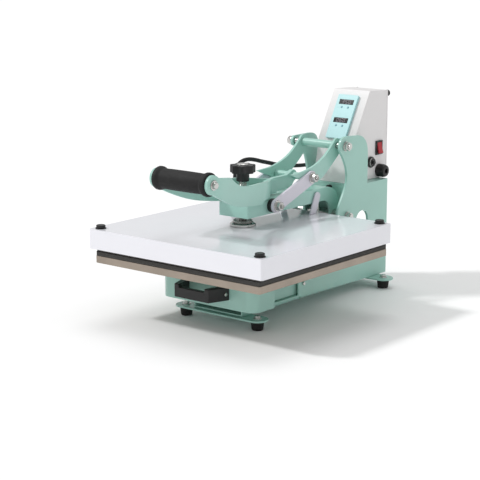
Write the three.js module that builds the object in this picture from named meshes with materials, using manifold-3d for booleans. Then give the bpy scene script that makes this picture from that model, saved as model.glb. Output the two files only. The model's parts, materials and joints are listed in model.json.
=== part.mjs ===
// Clamshell heat press with a slide-out drawer: steel base and side plates, a toggle lever that
// closes the platen arm, a heated upper platen on a pressure screw, and a slanted control housing.
// Millimetres. X points right, Y points back, Z points up. The grip faces -Y.

import * as THREE from 'three';
import { mergeVertices } from 'three/addons/utils/BufferGeometryUtils.js';
import Module from 'manifold-3d';

const wasm = await Module();
wasm.setup();

// ---------------------------------------------------------------- driving dimensions

const gap = 0.3;                 // air between pieces that touch
const round = 28;                // sides of a round piece
const small = 16;                // sides of a small round piece

// platens
const platenSize = 381;          // both sides of the lower platen
const platenBack = platenSize / 2; // the rear structure is placed from this edge
const platenThick = 13.4;
const platenBottom = 106.8;
const padThick = 7.7;            // silicone pad on the lower platen
const pressGap = 0.4;            // between the pad and the heating plate
const heaterThick = 18.4;
const casingOver = 9.9;          // casing beyond the platen on the left and right
const casingFrontOver = 6.7;
const casingBackShort = 1.3;     // the casing stops this far inside the platen at the back
const casingWall = 2.5;
const casingHeight = 36.5;
const heaterProud = 4.7;         // heating plate below the edge of the casing
const casingCorner = 4;

// base and drawer
const footHalfX = 84;
const footFrontY = -62;
const footRearY = platenBack + 150.5;
const footRadius = 12.3;
const footHeight = 17;
const footPlateRadius = 20;
const footPlateThick = 3.4;
const baseWall = 3;
const baseHeight = 14;
const drawerHalfX = 110;
const drawerFrontY = -104;
const drawerReturn = 59;         // depth of the drawer's folded sides
const drawerBottom = 41;
const drawerCorner = 20;
const sheet = 3;                 // folded sheet steel
const runnerX = 88;
const railX = 95;
const runnerRearY = platenBack - 5.5;
const railRearY = platenBack - 19.5;
const railPanelFrontY = 45;

// side plates
const plateX = 62;               // outer face of a side plate
const plateThick = 5;
const plateFootFrontY = platenBack - 94.5;
const plateRearY = platenBack + 192.5;
const neckRearY = platenBack + 121.5;
const neckLeftY = platenBack + 89.5; // front edge of the left neck
const fingerRadius = 10.5;       // left plate around the lever axle
const shelfZ = 213;
const holeY = platenBack + 104.5;
const holeZ = 140;
const holeRadius = 21;
const backPlateY = platenBack + 83.5;
const backPlateBottom = 100;

// linkage pivots, seen from the side
const leverPivot = { y: platenBack + 44.5, z: 294.5 };
const linkTop = { y: platenBack - 42.5, z: 244 };
const linkEnd = { y: 41, z: 206 };
const armPivot = { y: platenBack + 52.5, z: 157 };
const headRadius = 18.5;           // round ends around the lever pivot
const axleRadius = 6;
const washerRadius = 9.5;
const washerThick = 2;
const boltHeadRadius = 8.5;      // across the corners
const boltHeadLong = 7.5;
const studLong = 2;              // thread beyond the bolt head

// lever
const hornX = 42.5;              // outer face of a lever horn
const hornThick = 5;
const hornHeadRadius = 13.8;
const leverTubeRadius = 7.8;
const crossTubeRadius = 6.5;
const stemHalf = 4;
const bowThick = 6;
const gripHalf = 60;             // half the length of the grip
const gripY = -161;
const gripZ = 274;
const gripRadius = 18;
const bowEndRadius = 17.5;

// links
const linkThick = 5;
const linkHalfWidth = 12.8;

// platen arm
const armHalf = 33;
const armWall = 5;
const armFrontY = -27;
const armTop = 215;
const armBottom = 190;
const armShoulderY = platenBack + 67.5;
const hubRadius = 11;

// pressure screw
const screwRadius = 7.5;
const nutRadius = 14;
const nutDrop = 4.2;             // nut below the underside of the arm
const liftTravel = 4;            // how far the screw lifts the platen
const swivelRadius = 24;
const swivelThick = 6.4;
const flangeRadius = 18;
const flangeThick = 4.5;
const hubBottom = 252.5;
const knobBottom = 268;
const knobHeight = 15;
const knobRadius = 24;
const knobLobeDepth = 2.5;
const knobLobes = 7;
const knobHubRadius = 12;

// gas strut
const strutX = 18;
const strutFoot = { y: platenBack + 15.5, z: 31 };
const strutHead = { y: platenBack + 15.5, z: 200 };
const strutRadius = 8;
const strutRodRadius = 4;
const strutPinRadius = 3.5;
const strutLong = 100;           // cylinder above its lower pin

// control housing
const boxHalf = 43;
const boxBottom = shelfZ + gap;
const boxBackY = platenBack + 213.5;
const boxTopZ = 386;
const boxTopFrontY = platenBack + 153;
const boxTopFrontZ = 389;
const boxKneeY = platenBack + 101.5;
const boxKneeZ = 297;
const boxFootY = platenBack + 86.5;
const boxWall = 2;
const coverThick = 3;
const panelHalf = 23.5;
const panelLow = -0.5;           // bottom of the controller along the slanted front
const panelHigh = 92;
const panelThick = 5;
const displayHalf = 16.5;
const displayTall = 9.8;
const displayDeep = 1.2;
const displayUpper = 72;         // bottoms of the displays above the controller's bottom
const displayLower = 33;
const buttonDrop = 6.4;          // buttons below the display they set
const buttonRadius = 1.9;
const buttonSpread = 7.5;
const switchY = platenBack + 185.5;
const switchZ = 274;
const breakerY = platenBack + 157.5;
const breakerZ = 248;
const glandY = platenBack + 187.5;
const glandLong = 19;
const glandZ = 228;

// heater cable
const cableRadius = 4;
const cableGlandRadius = 8;

// ---------------------------------------------------------------- derived places

const platenHalf = platenSize / 2;
const platenTop = platenBottom + platenThick;
const padTop = platenTop + gap + padThick;
const heaterBottom = padTop + pressGap;
const casingBottom = heaterBottom + heaterProud;
const casingTop = casingBottom + casingHeight;
const casingFrontY = -platenHalf - casingFrontOver;
const casingBackY = platenHalf - casingBackShort;
const casingHalf = platenHalf + casingOver;
const plateInner = plateX - plateThick;
const hornInner = hornX - hornThick;
const linkInner = hornX + gap + 0.3;
const basePlateZ = footHeight + gap;
const baseFloorZ = basePlateZ + footPlateThick + gap;
const swivelTop = casingTop + gap + swivelThick;
const flangeTop = swivelTop + gap + flangeThick;
const nutBottom = armBottom - nutDrop;
const middleY = (casingFrontY + boxBackY + gap + coverThick) / 2;

// ---------------------------------------------------------------- finishes

const finish = (color, roughness, metalness) => ({ color, roughness, metalness });
const mint = finish(0x9fd0c1, 0.45, 0.0);
const white = finish(0xf3f3f1, 0.35, 0.0);
const black = finish(0x141414, 0.6, 0.0);
const rubber = finish(0x0e0e0e, 0.9, 0.0);
const steel = finish(0xb9bab8, 0.3, 1.0);
const aluminium = finish(0xb5aaa0, 0.4, 1.0);
const padGrey = finish(0x3a3c3d, 0.85, 0.0);
const red = finish(0xc4122a, 0.3, 0.0);
const cyan = finish(0xa9d8df, 0.4, 0.0);
const board = finish(0xd8d0bd, 0.95, 0.0);

// ---------------------------------------------------------------- shape helpers

/** Joins a closed geometry's vertices and hands it to the boolean library. */
function solidOf(geometry) {
  const bare = geometry.index ? geometry.toNonIndexed() : geometry.clone();
  bare.deleteAttribute('normal');
  bare.deleteAttribute('uv');
  const merged = mergeVertices(bare, 1e-4);
  const mesh = new wasm.Mesh({
    numProp: 3,
    vertProperties: new Float32Array(merged.attributes.position.array),
    triVerts: new Uint32Array(merged.index.array),
  });
  return new wasm.Manifold(mesh);
}

/** Turns a boolean result back into a geometry. */
function geometryOf(solid) {
  const mesh = solid.getMesh();
  const geometry = new THREE.BufferGeometry();
  geometry.setAttribute('position', new THREE.BufferAttribute(mesh.vertProperties, 3));
  geometry.setIndex(new THREE.BufferAttribute(mesh.triVerts, 1));
  geometry.computeVertexNormals();
  return geometry;
}

/** Adds the later geometries to the first one. */
function join(first, ...others) {
  return geometryOf(others.reduce((sum, other) => sum.add(solidOf(other)), solidOf(first)));
}

/** Cuts the later geometries out of the first one. */
function cut(first, ...tools) {
  return geometryOf(tools.reduce((rest, tool) => rest.subtract(solidOf(tool)), solidOf(first)));
}

/** Keeps what two geometries share. */
function common(first, second) {
  return geometryOf(solidOf(first).intersect(solidOf(second)));
}

/** A box between two corners. */
function block(x0, x1, y0, y1, z0, z1) {
  const geometry = new THREE.BoxGeometry(x1 - x0, y1 - y0, z1 - z0);
  return geometry.translate((x0 + x1) / 2, (y0 + y1) / 2, (z0 + z1) / 2);
}

/** A side outline drawn in Y and Z, made thick from x0 to x1. */
function sideSlab(shape, x0, x1, curveSegments = 8) {
  const geometry = new THREE.ExtrudeGeometry(shape, { depth: x1 - x0, bevelEnabled: false, curveSegments });
  const toSide = new THREE.Matrix4().makeBasis(
    new THREE.Vector3(0, 1, 0), new THREE.Vector3(0, 0, 1), new THREE.Vector3(1, 0, 0));
  return geometry.applyMatrix4(toSide).translate(x0, 0, 0);
}

/** A plan outline drawn in X and Y, made thick from z0 to z1. */
function planSlab(shape, z0, z1, curveSegments = 8) {
  const geometry = new THREE.ExtrudeGeometry(shape, { depth: z1 - z0, bevelEnabled: false, curveSegments });
  return geometry.translate(0, 0, z0);
}

/** A lathe turned about an axis; the profile is a list of [radius, place along the axis]. */
function turned(profile, axis, at, sides = round) {
  const points = profile.map(([radius, along]) => new THREE.Vector2(radius, along));
  const geometry = new THREE.LatheGeometry(points, sides);
  if (axis === 'x') geometry.rotateZ(-Math.PI / 2);
  if (axis === 'z') geometry.rotateX(Math.PI / 2);
  return geometry.translate(at.x ?? 0, at.y ?? 0, at.z ?? 0);
}

/** A plain round bar along an axis. */
function bar(radius, from, to, axis, at, sides = round) {
  return turned([[0, from], [radius, from], [radius, to], [0, to]], axis, at, sides);
}

/** A rectangle with round corners, in plan. */
function roundedPlan(x0, x1, y0, y1, radius) {
  const shape = new THREE.Shape();
  shape.moveTo(x0 + radius, y0);
  shape.lineTo(x1 - radius, y0);
  shape.absarc(x1 - radius, y0 + radius, radius, -Math.PI / 2, 0, false);
  shape.lineTo(x1, y1 - radius);
  shape.absarc(x1 - radius, y1 - radius, radius, 0, Math.PI / 2, false);
  shape.lineTo(x0 + radius, y1);
  shape.absarc(x0 + radius, y1 - radius, radius, Math.PI / 2, Math.PI, false);
  shape.lineTo(x0, y0 + radius);
  shape.absarc(x0 + radius, y0 + radius, radius, Math.PI, 1.5 * Math.PI, false);
  return shape;
}

/** A straight bar with round ends between two points of the drawing plane. */
function capsule(a, b, radius) {
  const along = Math.atan2(b[1] - a[1], b[0] - a[0]);
  const quarter = Math.PI / 2;
  const shape = new THREE.Shape();
  shape.moveTo(b[0] + radius * Math.sin(along), b[1] - radius * Math.cos(along));
  shape.absarc(b[0], b[1], radius, along - quarter, along + quarter, false);
  shape.absarc(a[0], a[1], radius, along + quarter, along + 3 * quarter, false);
  return shape;
}

/** Mirrors a geometry to the other side of the press. */
function mirrored(geometry) {
  const flipped = geometry.index ? geometry.toNonIndexed() : geometry.clone();
  const places = flipped.attributes.position;
  for (let i = 0; i < places.count; i += 3) {
    const [ax, ay, az] = [places.getX(i), places.getY(i), places.getZ(i)];
    const [cx, cy, cz] = [places.getX(i + 2), places.getY(i + 2), places.getZ(i + 2)];
    places.setXYZ(i, -cx, cy, cz);
    places.setX(i + 1, -places.getX(i + 1));
    places.setXYZ(i + 2, -ax, ay, az);
  }
  flipped.deleteAttribute('normal');
  flipped.deleteAttribute('uv');
  flipped.computeVertexNormals();
  return flipped;
}

// ---------------------------------------------------------------- the press

const press = new THREE.Group();
press.position.y = -middleY;

/** Puts one named piece into the press. */
function piece(name, geometry, look) {
  const mesh = new THREE.Mesh(geometry, new THREE.MeshStandardMaterial(look));
  mesh.name = name;
  press.add(mesh);
}

/** Puts a right-hand piece and its mirror image into the press. */
function pair(name, geometry, look) {
  piece(`${name}_right`, geometry, look);
  piece(`${name}_left`, mirrored(geometry), look);
}

// ---------------------------------------------------------------- base

function addBase() {
  const half = plateInner - gap;
  const front = footFrontY - 10;
  const top = baseFloorZ + baseHeight;
  const channel = cut(
    block(-half, half, front, plateRearY, baseFloorZ, top),
    block(-half + baseWall, half - baseWall, front - 1, plateRearY + 1, baseFloorZ + baseWall, top + 1));
  piece('base_channel', channel, mint);
  for (const [name, y] of [['front_foot_bar', footFrontY], ['rear_foot_bar', footRearY]]) {
    const outline = capsule([-footHalfX, y], [footHalfX, y], footPlateRadius);
    piece(name, planSlab(outline, basePlateZ, basePlateZ + footPlateThick), mint);
  }
  for (const [end, y] of [['front', footFrontY], ['rear', footRearY]]) {
    for (const [side, sign] of [['right', 1], ['left', -1]]) {
      const profile = [[0, 0], [footRadius - 2.8, 0], [footRadius - 1.8, 1], [footRadius, footHeight], [0, footHeight]];
      piece(`rubber_foot_${end}_${side}`, turned(profile, 'z', { x: sign * footHalfX, y }), rubber);
    }
  }
}

/** Outline of a side plate in Y and Z. The left one has a slimmer neck, set further back. */
function sidePlateShape(isRight) {
  const { y, z } = leverPivot;
  const bottom = baseFloorZ;
  const shape = new THREE.Shape();
  shape.moveTo(plateFootFrontY, bottom + 3);
  shape.lineTo(plateFootFrontY + 154, bottom + 1.5);
  shape.lineTo(footRearY - 15, bottom);
  shape.lineTo(plateRearY, bottom);
  shape.lineTo(plateRearY, shelfZ);
  shape.lineTo(neckRearY, shelfZ);
  shape.lineTo(neckRearY, z - 22);
  if (isRight) {
    const r = headRadius;
    shape.bezierCurveTo(neckRearY, z + 2, neckRearY - 16, z + r - 2, neckRearY - 38, z + r - 2);
    shape.lineTo(y, z + r);
    shape.absarc(y, z, r, Math.PI / 2, 1.18 * Math.PI, false);
    shape.bezierCurveTo(y - 9, z - 19, y + 6, z - 36, y + 7.5, z - 58);
    shape.bezierCurveTo(y + 9, z - 82, y - 11, z - 98, y - 22, z - 124);
  } else {
    const r = fingerRadius;
    shape.bezierCurveTo(neckRearY, z + 2, neckRearY - 12, z + r, neckRearY - 30, z + r);
    shape.lineTo(y, z + r);
    shape.absarc(y, z, r, Math.PI / 2, 1.5 * Math.PI, false);
    shape.lineTo(neckLeftY - 24, z - r);
    shape.quadraticCurveTo(neckLeftY - 10, z - 28, neckLeftY - 3, z - 62);
    shape.quadraticCurveTo(neckLeftY + 2, z - 92, neckLeftY - 12, z - 106);
    shape.quadraticCurveTo(neckLeftY - 34, z - 118, y - 22, z - 124);
  }
  shape.lineTo(y - 30, platenBottom - 11);
  shape.lineTo(plateFootFrontY, platenBottom - 11);
  return shape;
}

/** One side plate with its bores, on the right; the left one is mirrored afterwards. */
function sidePlate(isRight) {
  return cut(
    sideSlab(sidePlateShape(isRight), plateInner, plateX, 7),
    bar(axleRadius + gap, plateInner - 1, plateX + 1, 'x', leverPivot),
    bar(axleRadius + gap, plateInner - 1, plateX + 1, 'x', armPivot),
    bar(holeRadius, plateInner - 1, plateX + 1, 'x', { y: holeY, z: holeZ }));
}

function addSidePlates() {
  piece('side_plate_right', sidePlate(true), mint);
  piece('side_plate_left', mirrored(sidePlate(false)), mint);
  const half = plateInner - gap;
  const plateTop = shelfZ - sheet - gap;
  piece('back_plate', block(-half, half, backPlateY, backPlateY + sheet, backPlateBottom, plateTop), mint);
  piece('control_shelf', block(-half, half, backPlateY, plateRearY, shelfZ - sheet, shelfZ), mint);
  const stopZ = plateTop - 6;
  piece('bump_stop', bar(5, -10, -gap, 'y', { x: 0, y: backPlateY, z: stopZ }, small), rubber);
}

function addSlideRails() {
  const lip = drawerBottom;
  const web = new THREE.Shape();
  web.moveTo(railPanelFrontY, lip);
  web.lineTo(railRearY - 23, lip);
  web.lineTo(railRearY, lip + 15);
  web.lineTo(railRearY, platenBottom - 9);
  web.lineTo(railPanelFrontY, platenBottom - 9);
  const flangeFront = drawerFrontY + sheet + 6;
  const rail = join(
    sideSlab(web, railX - sheet, railX),
    block(plateX + gap, railX, flangeFront, railRearY - 23, lip, lip + sheet));
  pair('slide_rail', rail, mint);
}

// ---------------------------------------------------------------- drawer

function addDrawer() {
  const top = platenBottom - gap;
  const backOfReturn = drawerFrontY + drawerReturn;
  const outer = roundedPlan(-drawerHalfX, drawerHalfX, drawerFrontY, backOfReturn + 20, drawerCorner);
  const inside = drawerHalfX - sheet;
  const inner = roundedPlan(-inside, inside, drawerFrontY + sheet, backOfReturn + 40, drawerCorner - sheet);
  const shell = cut(
    planSlab(outer, drawerBottom, top, 5),
    planSlab(inner, drawerBottom - 1, top - sheet, 5),
    block(-drawerHalfX - 1, drawerHalfX + 1, backOfReturn, backOfReturn + 60, drawerBottom - 1, top + 1));
  const deck = block(-drawerHalfX, drawerHalfX, backOfReturn - 1, runnerRearY, top - sheet, top);
  const runner = block(runnerX - sheet, runnerX, backOfReturn, runnerRearY, drawerBottom + sheet + 0.6, top - 1);
  piece('drawer_tray', join(shell, deck, runner, mirrored(runner)), mint);
  piece('drawer_handle', handleGeometry(), black);
  const plate = roundedPlan(-platenHalf, platenHalf, -platenHalf, platenHalf, 3);
  piece('lower_platen', planSlab(plate, platenBottom, platenTop, 3), aluminium);
  const mat = roundedPlan(-platenHalf + 0.5, platenHalf - 0.5, -platenHalf + 0.5, platenHalf - 0.5, 3);
  piece('silicone_pad', planSlab(mat, platenTop + gap, padTop, 3), padGrey);
}

/** A pull handle: a straight bar on two legs that splay out towards the drawer. */
function handleGeometry() {
  const footHalf = 54;
  const barHalf = 40;
  const reach = 41;
  const thick = 10;
  const low = drawerBottom + 17;
  const high = low + 25;
  const back = drawerFrontY - gap;
  const outline = new THREE.Shape();
  outline.moveTo(-footHalf, back);
  outline.lineTo(-barHalf, back - reach);
  outline.lineTo(barHalf, back - reach);
  outline.lineTo(footHalf, back);
  outline.lineTo(footHalf - 1.5 * thick, back);
  outline.lineTo(barHalf - thick, back - reach + thick);
  outline.lineTo(-barHalf + thick, back - reach + thick);
  outline.lineTo(-footHalf + 1.5 * thick, back);
  const dip = block(-barHalf + thick, barHalf - thick, back - reach - 1, back - reach + thick + 1, high - 6, high + 1);
  return cut(planSlab(outline, low, high), dip);
}

// ---------------------------------------------------------------- lever

/** A horn: round end at the lever pivot, gooseneck down past the link pin, pointed toe. */
function hornShape() {
  const { y, z } = leverPivot;
  const r = hornHeadRadius;
  const pin = linkTop;
  const shape = new THREE.Shape();
  shape.moveTo(pin.y - 57, pin.z + 11.5);
  shape.quadraticCurveTo(pin.y - 38, pin.z + 3, pin.y - 18, pin.z - 3);
  shape.quadraticCurveTo(pin.y - 8, pin.z - 10, pin.y, pin.z - 10.5);
  shape.quadraticCurveTo(pin.y + 24, pin.z - 15, pin.y + 43, pin.z - 4.5);
  shape.quadraticCurveTo(y - 22, z - 41, y + 8, z - 16.5);
  shape.absarc(y, z, r, -0.3 * Math.PI, 0.62 * Math.PI, false);
  shape.quadraticCurveTo(y - 12, z + 6, y - 23, z - 4);
  shape.bezierCurveTo(y - 45, z - 22.5, y - 70, z - 32, pin.y - 20, pin.z + 13.5);
  return shape;
}

/** The stem's side outline: from the apex of the bow back to the cross tube. */
function stemShape() {
  const pin = linkTop;
  const low = armTop + 4;
  const shape = new THREE.Shape();
  shape.moveTo(pin.y - 86, low);
  shape.lineTo(pin.y - 8, low + 3);
  shape.absarc(pin.y, pin.z, 11, -0.4 * Math.PI, 0.62 * Math.PI, false);
  shape.lineTo(pin.y - 20, pin.z + 3);
  shape.lineTo(pin.y - 60, pin.z + 3);
  shape.lineTo(pin.y - 86, pin.z - 0.5);
  return shape;
}

/** Side outline of the bow, from the grip to the apex behind the knob. */
function bowSideShape() {
  const pin = linkTop;
  const r = bowEndRadius;
  const shape = new THREE.Shape();
  shape.moveTo(gripY, gripZ - r);
  shape.bezierCurveTo(gripY + 24, gripZ - 30, gripY + 62, gripZ - 48, gripY + 94, gripZ - 53.5);
  shape.quadraticCurveTo(gripY + 134, gripZ - 60, gripY + 166, armTop - 3);
  shape.lineTo(gripY + 178, armTop + 4);
  shape.lineTo(pin.y - 60, armTop + 4);
  shape.lineTo(pin.y - 60, pin.z + 0.5);
  shape.quadraticCurveTo(pin.y - 110, pin.z + 8.5, pin.y - 150, pin.z + 8.5);
  shape.bezierCurveTo(pin.y - 205, pin.z + 8, pin.y - 225, pin.z + 14, gripY + 56, gripZ + 5);
  shape.lineTo(gripY + 14, gripZ + 11);
  shape.absarc(gripY, gripZ, r, 0.22 * Math.PI, 1.5 * Math.PI, false);
  return shape;
}

/** Half the bow in plan: a strap that sweeps in from the grip and closes on the stem. */
function bowPlanShape() {
  const inner = stemHalf + gap;
  const apexY = linkTop.y - 78;
  const mid = [
    [gripHalf + gap + bowThick / 2, gripY - bowEndRadius - 2],
    [gripHalf + gap + bowThick / 2, gripY],
    [gripHalf + gap + bowThick / 2, gripY + 20],
    [gripHalf - 3, gripY + 52],
    [gripHalf - 12, gripY + 96],
    [gripHalf - 17.5, gripY + 126],
    [gripHalf - 21.5, gripY + 158],
    [gripHalf - 23.5, apexY - 53],
    [gripHalf - 30.5, apexY - 32],
    [inner + bowThick / 2, apexY],
    [inner + bowThick / 2, apexY + 20],
  ];
  const line = new THREE.CatmullRomCurve3(mid.map(([x, y]) => new THREE.Vector3(x, y, 0)));
  const steps = 30;
  const left = [];
  const right = [];
  for (let i = 0; i <= steps; i += 1) {
    const p = line.getPoint(i / steps);
    const t = line.getTangent(i / steps);
    left.push(new THREE.Vector2(p.x + t.y * bowThick / 2, p.y - t.x * bowThick / 2));
    right.push(new THREE.Vector2(Math.max(inner, p.x - t.y * bowThick / 2), p.y + t.x * bowThick / 2));
  }
  return new THREE.Shape([...left, ...right.reverse()]);
}

function addLever() {
  const pinHole = bar(5 + gap, hornInner - 1, hornX + 1, 'x', linkTop, small);
  const horn = cut(
    sideSlab(hornShape(), hornInner, hornX, 8),
    bar(axleRadius + gap, hornInner - 1, hornX + 1, 'x', leverPivot),
    pinHole);
  const tubeHalf = hornInner - gap;
  const tube = [
    [leverTubeRadius, -tubeHalf], [leverTubeRadius, hornInner + 1],
    [axleRadius + gap, hornInner + 1], [axleRadius + gap, -tubeHalf], [leverTubeRadius, -tubeHalf]];
  piece('lever_horn_right', join(horn, turned(tube, 'x', leverPivot)), mint);
  piece('lever_horn_left', mirrored(horn), mint);
  const stem = join(
    sideSlab(stemShape(), -stemHalf, stemHalf, 8),
    bar(crossTubeRadius, -tubeHalf, tubeHalf, 'x', linkTop));
  piece('lever_stem', stem, mint);
  const bow = common(
    sideSlab(bowSideShape(), 0, 90, 8),
    planSlab(bowPlanShape(), armTop - 40, gripZ + 60));
  pair('lever_bow', bow, mint);
  const r = gripRadius;
  const end = gripHalf;
  const profile = [
    [0, -end], [r + 2, -end], [r + 3.3, -end + 3], [r + 3.3, -end + 8], [r, -end + 14],
    [r + 0.4, -end / 2], [r + 0.6, 0], [r + 0.4, end / 2],
    [r, end - 14], [r + 3.3, end - 8], [r + 3.3, end - 3], [r + 2, end], [0, end]];
  piece('grip', turned(profile, 'x', { y: gripY, z: gripZ }), rubber);
  piece('lever_axle', axleGeometry(leverPivot), steel);
  piece('arm_axle', axleGeometry(armPivot), steel);
}

/** A plain axle with a washer, a hexagon head and a short stud at each end. */
function axleGeometry(at) {
  const face = plateX + gap;
  const head = face + washerThick + boltHeadLong;
  const end = head + studLong;
  const parts = [];
  for (const sign of [-1, 1]) {
    const [inner, outer] = sign < 0 ? [-face - washerThick, -face] : [face, face + washerThick];
    parts.push(bar(washerRadius, inner, outer, 'x', at));
    const [from, to] = sign < 0 ? [-head, -face - 1] : [face + 1, head];
    parts.push(bar(boltHeadRadius, from, to, 'x', at, 6));
  }
  return join(bar(axleRadius - 0.3, -end, end, 'x', at, small), bar(axleRadius, -face, face, 'x', at), ...parts);
}

function addLinks() {
  const outer = linkInner + linkThick;
  const outline = capsule([linkEnd.y, linkEnd.z], [linkTop.y, linkTop.z], linkHalfWidth);
  const link = cut(
    sideSlab(outline, linkInner, outer, 10),
    bar(5 + gap, linkInner - 1, outer + 1, 'x', linkTop, small),
    bar(5 + gap, linkInner - 1, outer + 1, 'x', linkEnd, small));
  pair('link_bar', link, white);
  const r = linkHalfWidth;
  const from = armHalf + gap + 0.2;
  const to = linkInner - gap;
  const spacer = [[0, from], [r - 1, from], [r, from + 1], [r, to - 1], [r - 1, to], [0, to]];
  pair('link_spacer', turned(spacer, 'x', linkEnd), black);
}

// ---------------------------------------------------------------- platen arm and upper platen

/** Side outline of the platen arm: a level channel with a rounded shoulder and a rear leg. */
function armShape(inset) {
  const { y, z } = armPivot;
  const r = hubRadius + 5 - inset;
  const top = armTop - inset;
  const rear = armShoulderY - inset;
  const shape = new THREE.Shape();
  const low = inset > 0 ? armBottom - 60 : armBottom;
  shape.moveTo(armFrontY + inset, low);
  if (inset > 0) {
    shape.lineTo(rear, low);
    shape.lineTo(rear, z + 10);
  } else {
    shape.lineTo(y - 38, low);
    shape.bezierCurveTo(y - 24, low, y - 14, low - 14, y - 15, z + 4);
    shape.absarc(y, z, r, 0.95 * Math.PI, 2 * Math.PI, false);
  }
  shape.bezierCurveTo(rear, z + 40, rear - 14, top, rear - 45, top);
  shape.lineTo(armFrontY + inset, top);
  return shape;
}

function addArm() {
  const shell = sideSlab(armShape(0), -armHalf, armHalf, 8);
  const hollow = sideSlab(armShape(armWall), -armHalf + armWall, armHalf - armWall, 8);
  const arm = cut(
    shell,
    hollow,
    bar(screwRadius + 1, armBottom - 10, armTop + 10, 'z', { x: 0, y: 0 }),
    bar(hubRadius + gap, -armHalf - 1, armHalf + 1, 'x', armPivot));
  piece('platen_arm', arm, mint);
  const nutTop = armTop - armWall - gap;
  const bore = screwRadius + gap;
  const nut = [[bore, nutBottom], [nutRadius, nutBottom], [nutRadius, nutTop], [bore, nutTop], [bore, nutBottom]];
  piece('screw_nut', turned(nut, 'z', {}, 6 * 4), steel);
  const reach = plateInner - gap;
  const hole = axleRadius + gap;
  const hub = [[hubRadius, -reach], [hubRadius, reach], [hole, reach], [hole, -reach], [hubRadius, -reach]];
  piece('arm_hub_tube', turned(hub, 'x', armPivot), steel);
}

function addUpperPlaten() {
  const shell = roundedPlan(-casingHalf, casingHalf, casingFrontY, casingBackY, casingCorner);
  const w = casingWall;
  const inside = block(
    -casingHalf + w, casingHalf - w, casingFrontY + w, casingBackY - w, casingBottom - 5, casingTop - w);
  piece('heat_casing', cut(planSlab(shell, casingBottom, casingTop, 4), inside), white);
  const half = platenHalf - 6;
  const heaterTop = heaterBottom + heaterThick;
  const y0 = -platenHalf + 2;
  const plate = block(-half - 4, half + 4, y0, platenHalf - 5, heaterBottom, heaterTop);
  piece('heating_plate', plate, padGrey);
  piece('insulation_board', block(-half, half, y0, half, heaterTop + gap, casingTop - w - gap), board);
  const t = casingTop + gap;
  const swivel = [
    [0, t], [swivelRadius, t], [swivelRadius, t + 4.4], [swivelRadius - 3, swivelTop], [0, swivelTop]];
  piece('swivel_plate', turned(swivel, 'z', {}), steel);
  const stayX = armHalf + gap + 0.6;
  const stayTop = [armPivot.y - 62, armTop - 13];
  const outline = capsule([armPivot.y - 79, casingTop - 6], stayTop, 8.5);
  const stay = cut(
    sideSlab(outline, stayX, stayX + 3.5, 7),
    block(0, 100, 0, platenSize, casingTop - 40, casingTop + gap));
  pair('level_stay', stay, white);
}

function addScrew() {
  const top = knobBottom - gap;
  const screw = [
    [0, swivelTop + gap], [flangeRadius, swivelTop + gap], [flangeRadius, flangeTop - 1], [flangeRadius - 1, flangeTop],
    [screwRadius, flangeTop], [screwRadius, top - 6], [screwRadius - 2, top], [0, top]];
  piece('pressure_screw', turned(screw, 'z', {}), steel);
  const star = new THREE.Shape();
  const steps = knobLobes * 8;
  for (let i = 0; i < steps; i += 1) {
    const angle = (2 * Math.PI * i) / steps;
    const radius = knobRadius - knobLobeDepth * (1 - Math.cos(knobLobes * angle));
    const [x, y] = [radius * Math.cos(angle), radius * Math.sin(angle)];
    if (i === 0) star.moveTo(x, y);
    else star.lineTo(x, y);
  }
  const bore = screwRadius + gap;
  const hub = bar(knobHubRadius, hubBottom, knobBottom + 1, 'z', {});
  const knob = cut(
    join(planSlab(star, knobBottom, knobBottom + knobHeight), hub),
    bar(bore, hubBottom - 1, knobBottom, 'z', {}));
  piece('pressure_knob', knob, black);
}

// ---------------------------------------------------------------- control housing

/** The housing's side outline, drawn in by a wall. */
function boxShape(inset) {
  const shape = new THREE.Shape();
  const back = inset > 0 ? boxBackY + 10 : boxBackY;
  shape.moveTo(boxFootY + inset, boxBottom + inset);
  shape.lineTo(back, boxBottom + inset);
  shape.lineTo(back, boxTopZ - inset);
  shape.lineTo(boxTopFrontY + inset, boxTopFrontZ - inset);
  shape.lineTo(boxKneeY + inset, boxKneeZ);
  return shape;
}

const slope = Math.atan2(boxTopFrontZ - boxKneeZ, boxTopFrontY - boxKneeY);

/** Moves a piece drawn flat (X right, Y up the slope, Z outwards) onto the slanted front. */
function ontoFront(geometry, along, out) {
  const up = new THREE.Vector3(0, Math.cos(slope), Math.sin(slope));
  const outward = new THREE.Vector3(0, -Math.sin(slope), Math.cos(slope));
  const place = new THREE.Matrix4().makeBasis(new THREE.Vector3(1, 0, 0), up, outward);
  const foot = new THREE.Vector3(0, boxKneeY, boxKneeZ);
  foot.addScaledVector(up, along).addScaledVector(outward, out);
  place.setPosition(foot);
  return geometry.applyMatrix4(place);
}

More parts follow.
